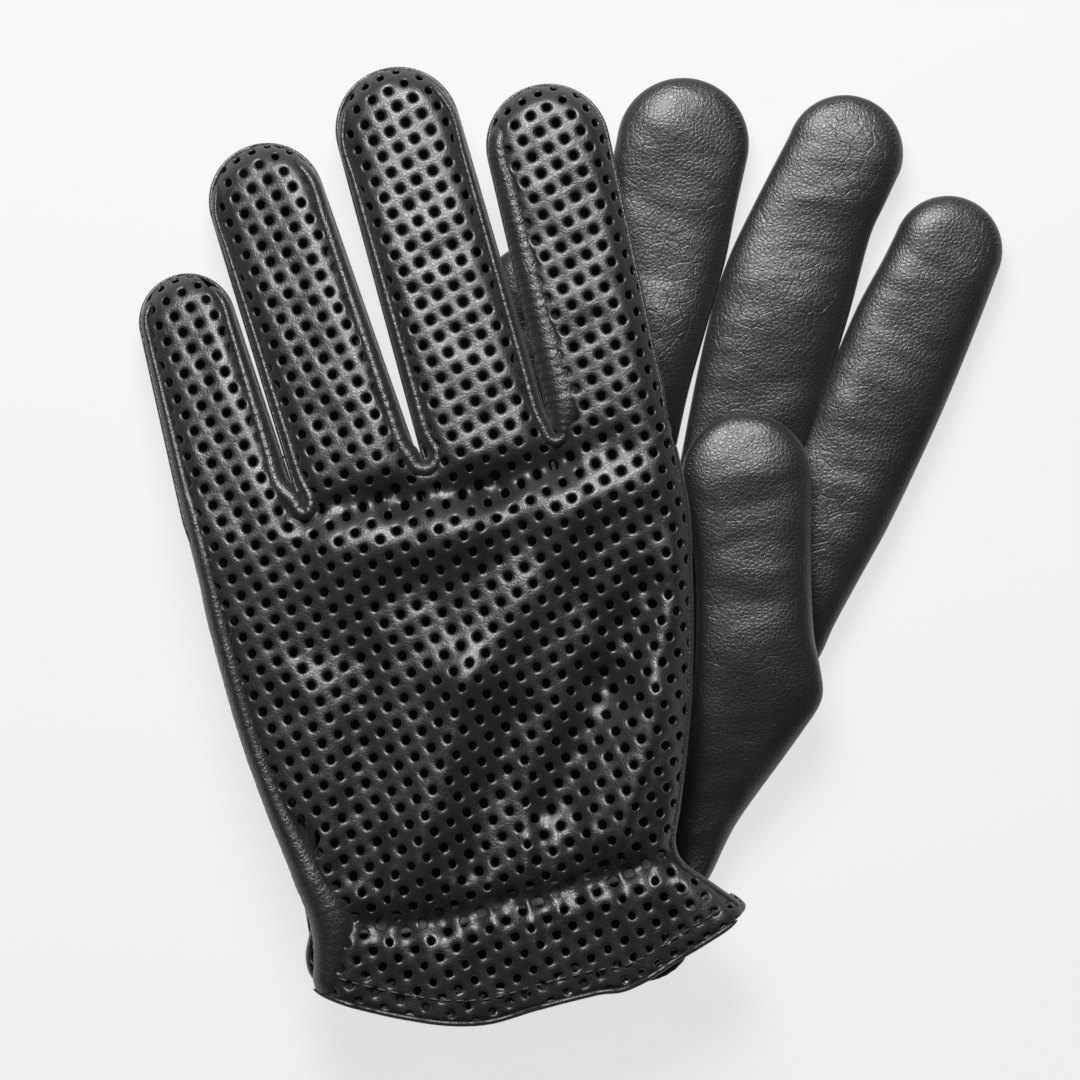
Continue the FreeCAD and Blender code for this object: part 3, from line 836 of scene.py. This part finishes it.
crotches = {       # radii: first finger's tip and root, the bend, second finger's root and tip
    ("little", "ring"): {"bottom": (-66.3, 6.9), "spread": 2.2, "radii": (1.6, 3.1, 2.8, 2.2, 1.2)},
    ("ring", "middle"): {"bottom": (-35.8, 17.9), "spread": 3.4, "radii": (2.0, 2.8, 2.7, 2.5, 1.3)},
    ("middle", "index"): {"bottom": (-3.6, 24.8), "spread": 2.6, "radii": (1.4, 2.2, 2.2, 5.0, 3.0)},
}
rolls = {"proud": 0.6, "halfHigh": 5.6, "bandHalfHigh": 6.6, "bandLap": 0.9}


def rollTop(p):
    return leftLevel(p) + rolls["proud"]


def sideRun(finger, side, bottom, radii):
    # Centres of a roll from the tip down to a little above the crotch.
    low = local(finger, bottom)[0] + 9.0
    high = finger["length"] + 0.75 * finger["tipRadius"]
    steps = 9
    for i in range(steps):
        t = i / (steps - 1)
        yield sidePoint(finger, side, high + (low - high) * t, radii[0] + (radii[1] - radii[0]) * t)


for number, ((first, second), crotch) in enumerate(crotches.items()):
    a, b = left[first], left[second]
    radii = crotch["radii"]
    bottom = Vector(crotch["bottom"])
    upwards = (a["along"] + b["along"]).normalized()
    outwards = Vector((upwards.y, -upwards.x)) * crotch["spread"]
    points = list(sideRun(a, 1, bottom, radii[:2]))
    bendRadii = (radii[1], radii[2], radii[2], radii[2], (radii[2] + radii[3]) / 2)
    for side, rise, radius in zip((-1, -0.75, 0, 0.75, 1), (4.0, 1.2, 0, 1.2, 4.0), bendRadii):
        p = bottom + outwards * side + upwards * rise
        points.append(Vector((p.x, p.y, radius)))
    points += reversed(list(sideRun(b, -1, bottom, (radii[4], radii[3]))))
    roll = rolledStrip("roll", points, rollTop, rolls["halfHigh"], smoothLeather, seed=number * 3.1)
    beyondA = beyondHinge(f"left_{first}_bend", bend["splitRoll"])
    beyondB = beyondHinge(f"left_{second}_bend", bend["splitRoll"])
    made = cutInto(roll, [
        (f"left_{first}_fourchette_inner_leather", lambda c: ownFinger(c.xy) is a and beyondA(c)),
        (f"left_{second}_fourchette_outer_leather", lambda c: ownFinger(c.xy) is b and beyondB(c)),
        (f"left_quirk_{first}_{second}_leather", lambda c: True)])
    bendWith(made[0], f"left_{first}_bend")
    bendWith(made[1], f"left_{second}_bend")
    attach(made[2], "left_hand")
    belongs(made[0], "smooth_leather", f"left_{first}_fourchette_inner")
    belongs(made[1], "smooth_leather", f"left_{second}_fourchette_outer")
    belongs(made[2], "smooth_leather", f"left_quirk_{first}_{second}")

littleFinger = left["little"]
bandOuter = [(-64, -112.5), (-64.6, -97), (-69.5, -82), (-76.8, -64), (-83.3, -47), (-90.3, -22), (-93.4, -8),
             (-96.8, 5)]
bandPoints = []
for inner, outer in zip(handPlan["bandSeam"], bandOuter):
    inner, outer = Vector(inner), Vector(outer)
    inner += (inner - outer).normalized() * rolls["bandLap"]      # over the panel's cut edge
    middle = (inner + outer) / 2
    bandPoints.append(Vector((middle.x, middle.y, (inner - outer).length / 2 + 0.4)))
for i in range(8):
    t = i / 7
    s = 14.0 + (littleFinger["length"] - 2.0) * t
    bandPoints.append(sidePoint(littleFinger, -1, s, 2.6 - 1.0 * t))


def bandTop(p):
    return rollTop(p) + 0.7 * min(1.0, max(0.0, (-8.0 - p.y) / 25.0))


band = rolledStrip("band", bandPoints, bandTop, rolls["bandHalfHigh"], smoothLeather, seed=7.7, wrinkle=0.03,
                   columns=28)
beyondLittle = beyondHinge("left_little_bend", bend["splitRoll"])
made = cutInto(band, [("left_little_band_leather", beyondLittle), ("left_band_leather", lambda c: True)])
bendWith(made[0], "left_little_bend")
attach(made[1], "left_hand")
belongs(made[0], "smooth_leather", "left_little_front")
belongs(made[1], "smooth_leather", "left_palm")

hemEdge = [(*point, 0.75) for point in handPlan["hem"] if -66 < point.x < 43]


def hemTop(p):
    return backSurface(p + Vector((0, 1.6))).z / mm - 0.05


hemRoll = rolledStrip("left_hem_edge", hemEdge, hemTop, 0.9, punchedLeather, wrinkle=0.05, columns=10)
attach(hemRoll, "left_hand")
belongs(hemRoll, "perforated_leather", "left_back")
print("stage: rolled strips of the upper glove")


# the upper glove's palm, elastic and hem stitches
def leftHandHeights(p):
    return leftLevel(p) - handPlan["curl"], handPlan["curl"] + 0.6


leftLines = (smoothPath([(-63.5, -110.5)] + handPlan["leftEdge"][1:], 3.0),
             smoothPath([(42.0, -92.5)] + handPlan["rightEdge"][1:], 3.0))
leftPalmPlace = handPlace(leftLines, leftHandHeights, handPlan["hem"], outset=0.3, seed=2.2)
leftPalm = skin("left_palm_leather", leftPalmPlace, (16, -196), smoothLeather, 70, 70)
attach(leftPalm, "left_hand")
belongs(leftPalm, "smooth_leather", "left_palm")

elasticPlan = {"width": 6.0, "thick": 1.0, "below": 1.7, "rightEnds": ((-49.0, -68.0), (26.0, -86.0))}


def leftElastic(u, v):
    p = lineAt(handPlan["gather"], 0.06 + 0.88 * v) + Vector((0, (u - 0.5) * elasticPlan["width"]))
    return backSurface(p) - Vector((0, 0, elasticPlan["below"] * mm))


def rightElastic(u, v):
    first, last = elasticPlan["rightEnds"]
    p = Vector(first).lerp(Vector(last), v) + Vector((0, (u - 0.5) * elasticPlan["width"]))
    return Vector((p.x * mm, p.y * mm, (1.9 + 0.35 * math.sin(v * 60.0)) * mm))


for side, place in (("left", leftElastic), ("right", rightElastic)):
    strip = sheetMesh(f"{side}_elastic_strip", 6, 120, place, elasticBlack)
    addModifiers(strip, thickness=elasticPlan["thick"], levels=1)
    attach(smoothShaded(baked(strip)), f"{side}_hand")
    belongs(strip, "elastic", f"{side}_elastic")

stitchPlan = {"length": 2.3, "radius": 0.27, "pitch": 3.3, "inset": 5.8, "proud": 0.12}
hemPoints = [(point.x, point.y + stitchPlan["inset"]) for point in handPlan["hem"][2:-1]]
hemLine = smoothPath(hemPoints, stitchPlan["pitch"])
marks = []
for first, second in zip(hemLine, hemLine[1:]):
    start, end = backSurface(first), backSurface(second)
    marks.append(((start + end) / 2 + Vector((0, 0, stitchPlan["proud"] * mm)), end - start))
leftHemStitches = stitches("left_hem_stitches", marks, stitchPlan["length"], stitchPlan["radius"])
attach(leftHemStitches, "left_hand")
belongs(leftHemStitches, "thread", "left_hem_thread")
print("stage: palm, elastic and stitches of the upper glove")


# the lower glove, palm up
rightPlan = {
    "left": [(-60.5, -82.0), (-56.5, -68), (-51.5, -10), (-44, 12), (-34, 30)],
    "right": [(28.6, -106.0), (29.2, -102.5), (29.5, -92), (30, -75), (32, -54), (36, -35), (44, -15),
              (60, 0), (74, 6)],
    "hem": [(-60.5, -82), (-40, -89), (-15, -98.5), (2, -107), (12, -110.8), (20, -111.4), (28, -110)],
    "middle": 6.1, "half": 5.9, "fingerRise": 0.6, "power": 0.55,
    "stitches": 26, "stitchLine": 0.045, "firstStitch": 172, "stitchStep": 6.3, "stitchTurn": 4.2,
}


def rightHandHeights(p):
    return rightPlan["middle"], rightPlan["half"]


rightLines = (smoothPath(rightPlan["left"], 3.0), smoothPath(rightPlan["right"], 3.0))
rightHem = smoothPath(rightPlan["hem"], 2.0)
rightTop = handPlace(rightLines, rightHandHeights, rightHem, power=rightPlan["power"], rumple=1.3, seed=5.1,
                     crown=0.4, gathers=1.3)
rightUnder = handPlace(rightLines, rightHandHeights, rightHem, power=rightPlan["power"], rumple=0.0, seed=5.1,
                       outset=-0.3)
rightPalm = skin("right_palm_leather", rightTop, (180, 0), smoothLeather, 70, 80)
rightBack = skin("right_back_leather", rightUnder, (0, -180), punchedLeather, 60, 60)
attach(rightPalm, "right_hand")
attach(rightBack, "right_hand")
belongs(rightPalm, "smooth_leather", "right_palm", "right_quirk_little_ring", "right_quirk_ring_middle",
        "right_quirk_middle_index")
belongs(rightBack, "perforated_leather", "right_back")
marks = []
for i in range(rightPlan["stitches"]):
    angle = rightPlan["firstStitch"] - rightPlan["stitchStep"] * i
    start = rightTop(angle, rightPlan["stitchLine"])
    end = rightTop(angle - rightPlan["stitchTurn"], rightPlan["stitchLine"])
    marks.append(((start + end) / 2, end - start))
rightHemStitches = stitches("right_hem_stitches", marks, stitchPlan["length"], stitchPlan["radius"])
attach(rightHemStitches, "right_hand")
belongs(rightHemStitches, "thread", "right_hem_thread")

rightEdges = {     # each finger's two sides in plan, from the palm to where the tip starts to round
    "little": ([(-31.5, 20), (-27, 40), (-21.8, 64)], [(-6.5, 20), (-1, 40), (1.8, 64)]),
    "ring": ([(-5, 22), (-0.5, 45), (5, 70), (11.9, 104.4)],
             [(26.5, 24), (29.5, 37.6), (33.7, 52.6), (38.8, 70.6), (41.3, 82.9), (44.6, 97.6)]),
    "middle": ([(27, 18), (31.3, 40.6), (35.5, 58.9), (39.8, 72.1), (46.4, 86), (55.3, 103.2)],
               [(58, 12), (62.6, 30.4), (65.8, 42.9), (70.5, 58.6), (75.4, 76.8), (79.0, 84.9),
                (83.2, 93.8)]),
    "index": ([(40, -24), (44, -10), (50, 6), (58, 26), (66, 45), (72.3, 59.6), (78.8, 71.6), (82.7, 79.6)],
              [(60.5, -33), (63.6, -27.4), (66.5, -20.9), (73.2, -8.6), (79.2, 2.2), (85.2, 14.4),
               (92.6, 30.4), (98.4, 44.1), (104.1, 58.4), (108.3, 69.5)]),
}
thumbEdges = {
    "right": ([(25.0, -94), (26.0, -83), (27.5, -60), (30.6, -34), (31.2, -14), (29.8, 2), (27.4, 16.6)],
              [(33.5, -87), (35.8, -83.1), (41.8, -70.9), (53.2, -54.6), (58.2, -47.4), (62.0, -41.6),
               (63.1, -37.4), (62.2, -31), (60.8, -24), (60.2, -14), (60.0, 0), (60.2, 9), (60.0, 16.6)]),
    "left": ([(2.0, -44), (-1.5, -22), (-3.5, 0)], [(27.0, -44), (24.0, -22), (20.5, 0)]),
}


def edgedFinger(edges):
    lines = [smoothPath(edge, 1.5) for edge in edges]
    tip = (lines[0][-1] + lines[1][-1]) / 2
    reach = (lines[1][-1] - lines[0][-1]) / 2
    across = reach.normalized()
    root = (lines[0][0] + lines[1][0]) / 2
    return {"edges": lines, "tip": tip, "root": root, "tipRadius": reach.length, "across": across,
            "along": Vector((-across.y, across.x)), "length": 0.75 * (len(lines[0]) + len(lines[1]))}


def rightHeights(s):
    sink = max(0.0, 1 - s / 22.0)
    rise = rightPlan["fingerRise"]
    return rightPlan["middle"] + rise, rightPlan["half"] + rise - 0.3 - 2.4 * sink ** 2


tipSeam = {"power": 0.78, "pitch": 1.25, "reach": 0.45, "proud": 0.1, "length": 1.25, "radius": 0.26}


def tipStitches(name, finger, heights, inset, turns):
    # A row of small threads set across the seam near the tip's edge.
    radius = finger["tipRadius"]
    power = tipSeam["power"]
    marks = []
    count = int(math.radians(turns[1] - turns[0]) * (radius - inset) / tipSeam["pitch"])
    for i in range(count):
        turn = math.radians(turns[0] + (turns[1] - turns[0]) * i / (count - 1))
        both = []
        for distance in (inset + tipSeam["reach"], inset - tipSeam["reach"]):
            a = (radius - distance) * math.cos(turn)
            ahead = (radius - distance) * math.sin(turn)
            share = math.sqrt(max(1e-4, 1 - (max(0.0, ahead) / radius) ** 2))
            level = min(1.0, abs(a) / (radius * share)) ** (1 / power)
            middle, high = heights(finger["length"] + ahead)
            z = middle + high * share ** 0.8 * math.sqrt(1 - level ** 2) ** power
            p = finger["tip"] + finger["along"] * ahead + finger["across"] * a
            both.append(Vector((p.x * mm, p.y * mm, (z + tipSeam["proud"]) * mm)))
        marks.append(((both[0] + both[1]) / 2, both[1] - both[0]))
    return stitches(name, marks, tipSeam["length"], tipSeam["radius"])


for number, (name, edges) in enumerate(rightEdges.items()):
    finger = edgedFinger(edges)
    prefix = f"right_{name}"
    seed = 11.0 + number * 2.7
    top = fingerPlace(finger, rightHeights, start=0.0, power=tipSeam["power"], rumple=0.9, seed=seed)
    under = fingerPlace(finger, rightHeights, start=0.0, power=tipSeam["power"], rumple=0.0, outset=-0.2)
    pieces = {
        "front": skin(f"{prefix}_front_leather", top, (184, -4), smoothLeather, 48, 110),
        "fourchette_outer": skin(f"{prefix}_side_outer_leather", under, (222, 182), smoothLeather, 10, 60),
        "fourchette_inner": skin(f"{prefix}_side_inner_leather", under, (-2, -42), smoothLeather, 10, 60),
        "back": skin(f"{prefix}_back_leather", under, (-40, -140), punchedLeather, 24, 60),
    }
    if name != "little":
        pieces["stitches"] = tipStitches(f"{prefix}_tip_stitches", finger, rightHeights, 1.7, (28, 128))
    for part, piece in pieces.items():
        if name in ("middle", "index"):
            bendWith(piece, f"right_{name}_bend", start=bend["rightStart"])
        else:
            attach(piece, "right_hand")
        node = f"right_{name}_{part}"
        slotName = {"back": "perforated_leather", "stitches": "thread"}.get(part, "smooth_leather")
        belongs(piece, slotName, *([node] if node in frame["nodes"] else []))
print("stage: fingers of the lower glove")


def rightThumbHeights(s):
    # It lies over the palm at its tip and sinks into the palm towards the cuff.
    y = -90.0 + s
    down = min(1.0, max(0.0, (-18.0 - y) / 68.0))
    down = down * down * (3 - 2 * down)
    return 17.4 - 11.0 * down, 6.3 - 0.6 * down


def leftThumbHeights(s):
    return 16.0 - 0.4 * max(0.0, 1 - s / 20.0), 3.2


for side, heights, outer, inner in (("right", rightThumbHeights, "back", "front"),
                                    ("left", leftThumbHeights, "front", "back")):
    thumb = edgedFinger(thumbEdges[side])
    place = fingerPlace(thumb, heights, start=0.0, power=tipSeam["power"], rumple=0.9, seed=31.0)
    pieces = {
        outer: skin(f"{side}_thumb_outer_leather", place, (182, -2), smoothLeather, 46, 120),
        inner: skin(f"{side}_thumb_inner_leather", place, (-4, -176), smoothLeather, 46, 120),
    }
    if side == "right":
        pieces["stitches"] = tipStitches("right_thumb_tip_stitches", thumb, heights, 1.6, (70, 178))
    for part, piece in pieces.items():
        if side == "right":
            bendWith(piece, "right_thumb_lift", start=bend["thumbStart"])
        else:
            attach(piece, "left_hand")
        if part == "stitches":
            belongs(piece, "thread")
        else:
            belongs(piece, "smooth_leather", f"{side}_thumb_{part}")
print("stage: thumbs")
